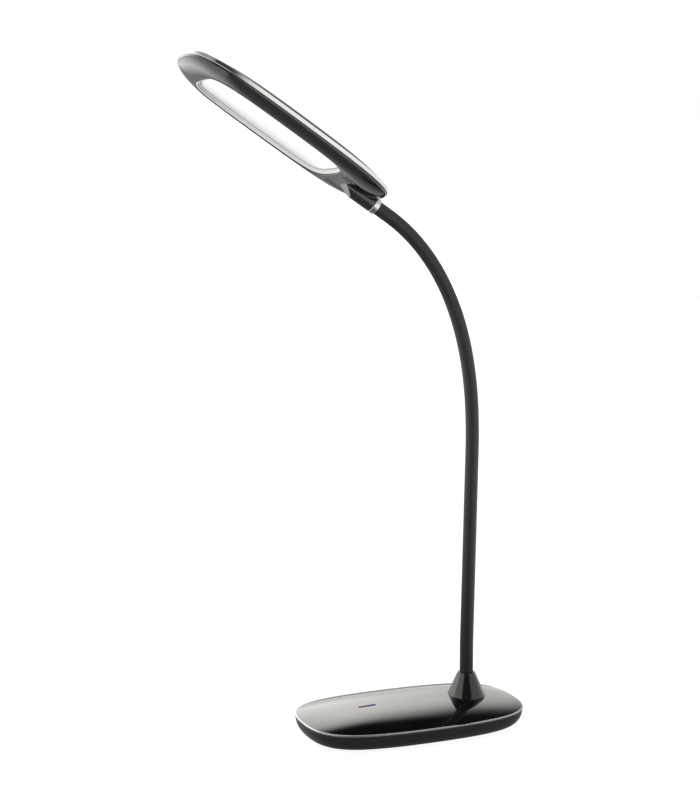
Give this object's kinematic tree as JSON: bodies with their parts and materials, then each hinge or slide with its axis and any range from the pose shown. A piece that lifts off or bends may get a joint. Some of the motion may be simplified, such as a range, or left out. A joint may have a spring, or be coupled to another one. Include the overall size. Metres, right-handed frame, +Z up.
{
  "type": "gooseneck desk lamp",
  "caption": "Gloss black LED desk lamp with a rounded flat base, a bendable rubber-covered gooseneck and a thin rounded head with a bright edge band.",
  "frame": {"origin": "on the table, under the middle of the base, on the lower face of the rubber pad", "axes": "+Z up; +X along the base towards its back, where the neck stands, so the head reaches towards -X; +Y completes the right-handed frame"},
  "size_m": [0.2715, 0.106, 0.5183],
  "materials": {
    "gloss_black": "high-gloss black ABS",
    "satin_charcoal": "satin charcoal ABS",
    "bright_trim": "bright vacuum-plated trim on plastic",
    "neck_rubber": "matt dark grey silicone sleeve",
    "pad_rubber": "black non-slip rubber",
    "steel": "plain steel",
    "screw_steel": "zinc-plated screws",
    "ballast_iron": "rough casting",
    "electrode_brass": "thin sheet",
    "green_board": "solder-masked board",
    "white_board": "white board and wall",
    "dark_parts": "moulded black plastic",
    "lead_pvc": "twin PVC lead",
    "pale_frame": "pale warm grey frame",
    "opal_diffuser": "opal diffuser, lit from behind",
    "lamp_white": "white lamps",
    "lamp_indicator": "red and blue indicator lamps",
    "clear_pipe": "clear light pipe, lit red and blue",
    "spreader_aluminium": "plain sheet"
  },
  "bodies": {
    "base": {"base_leads": "lead_pvc", "base_lower_shell": "satin_charcoal", "base_screws": "screw_steel", "base_top_cover": "gloss_black", "base_trim_ring": "bright_trim", "base_weight": "ballast_iron", "board_parts": "dark_parts", "board_screws": "screw_steel", "control_board": "green_board", "dc_jack": "dark_parts", "gooseneck_conduit_base": "steel", "gooseneck_sleeve_base": "neck_rubber", "indicator_leds": "lamp_indicator", "indicator_light_pipe": "clear_pipe", "neck_collar": "gloss_black", "neck_lock_nut": "steel", "neck_lock_washer": "steel", "neck_lower_ferrule": "steel", "rubber_pad": "pad_rubber", "touch_electrode": "electrode_brass"},
    "link_01": {"gooseneck_sleeve_01": "neck_rubber", "gooseneck_conduit_01": "steel"},
    "link_02": {"gooseneck_sleeve_02": "neck_rubber", "gooseneck_conduit_02": "steel"},
    "link_03": {"gooseneck_sleeve_03": "neck_rubber", "gooseneck_conduit_03": "steel"},
    "link_04": {"gooseneck_sleeve_04": "neck_rubber", "gooseneck_conduit_04": "steel"},
    "link_05": {"gooseneck_sleeve_05": "neck_rubber", "gooseneck_conduit_05": "steel"},
    "link_06": {"gooseneck_sleeve_06": "neck_rubber", "gooseneck_conduit_06": "steel"},
    "link_07": {"gooseneck_sleeve_07": "neck_rubber", "gooseneck_conduit_07": "steel"},
    "link_08": {"gooseneck_sleeve_08": "neck_rubber", "gooseneck_conduit_08": "steel"},
    "link_09": {"gooseneck_sleeve_09": "neck_rubber", "gooseneck_conduit_09": "steel"},
    "link_10": {"gooseneck_sleeve_10": "neck_rubber", "gooseneck_conduit_10": "steel"},
    "head": {"clamp_screws": "screw_steel", "diffuser_lens": "opal_diffuser", "ferrule_clamp": "dark_parts", "ferrule_ring": "bright_trim", "ferrule_set_screw": "screw_steel", "gooseneck_conduit_head": "steel", "gooseneck_sleeve_head": "neck_rubber", "head_leads": "lead_pvc", "head_leds": "lamp_white", "head_lower_shell": "gloss_black", "head_screws": "screw_steel", "head_top_cover": "gloss_black", "head_trim_band": "bright_trim", "heat_spreader": "spreader_aluminium", "led_board": "white_board", "lens_frame": "pale_frame", "light_box": "white_board", "neck_upper_ferrule": "steel"}
  },
  "joints": [
    {"name": "neck_nod_01", "type": "hinge", "parent": "base", "child": "link_01", "pos_m": [0.0498, 0, 0.0635], "axis": [0, -1, 0], "range_deg": [-18, 18]},
    {"name": "neck_sway_02", "type": "hinge", "parent": "link_01", "child": "link_02", "pos_m": [0.05064, 0, 0.10209], "axis": [0.9998, 0, -0.0218], "range_deg": [-18, 18]},
    {"name": "neck_nod_03", "type": "hinge", "parent": "link_02", "child": "link_03", "pos_m": [0.05148, 0, 0.14068], "axis": [0, -1, 0], "range_deg": [-18, 18]},
    {"name": "neck_sway_04", "type": "hinge", "parent": "link_03", "child": "link_04", "pos_m": [0.05233, 0, 0.17927], "axis": [0.9998, 0, -0.0218], "range_deg": [-18, 18]},
    {"name": "neck_nod_05", "type": "hinge", "parent": "link_04", "child": "link_05", "pos_m": [0.05317, 0, 0.21786], "axis": [0, -1, 0], "range_deg": [-18, 18]},
    {"name": "neck_sway_06", "type": "hinge", "parent": "link_05", "child": "link_06", "pos_m": [0.0526, 0, 0.25235], "axis": [0.9985, 0, 0.055], "range_deg": [-18, 18]},
    {"name": "neck_nod_07", "type": "hinge", "parent": "link_06", "child": "link_07", "pos_m": [0.04875, 0, 0.28662], "axis": [0, -1, 0], "range_deg": [-18, 18]},
    {"name": "neck_sway_08", "type": "hinge", "parent": "link_07", "child": "link_08", "pos_m": [0.04044, 0, 0.32007], "axis": [0.9497, 0, 0.3132], "range_deg": [-18, 18]},
    {"name": "neck_nod_09", "type": "hinge", "parent": "link_08", "child": "link_09", "pos_m": [0.02665, 0, 0.35164], "axis": [0, -1, 0], "range_deg": [-18, 18]},
    {"name": "neck_sway_10", "type": "hinge", "parent": "link_09", "child": "link_10", "pos_m": [0.00673, 0, 0.37972], "axis": [0.7461, 0, 0.6659], "range_deg": [-18, 18]},
    {"name": "neck_nod_11", "type": "hinge", "parent": "link_10", "child": "head", "pos_m": [-0.01931, 0, 0.4022], "axis": [0, -1, 0], "range_deg": [-18, 18]}
  ]
}
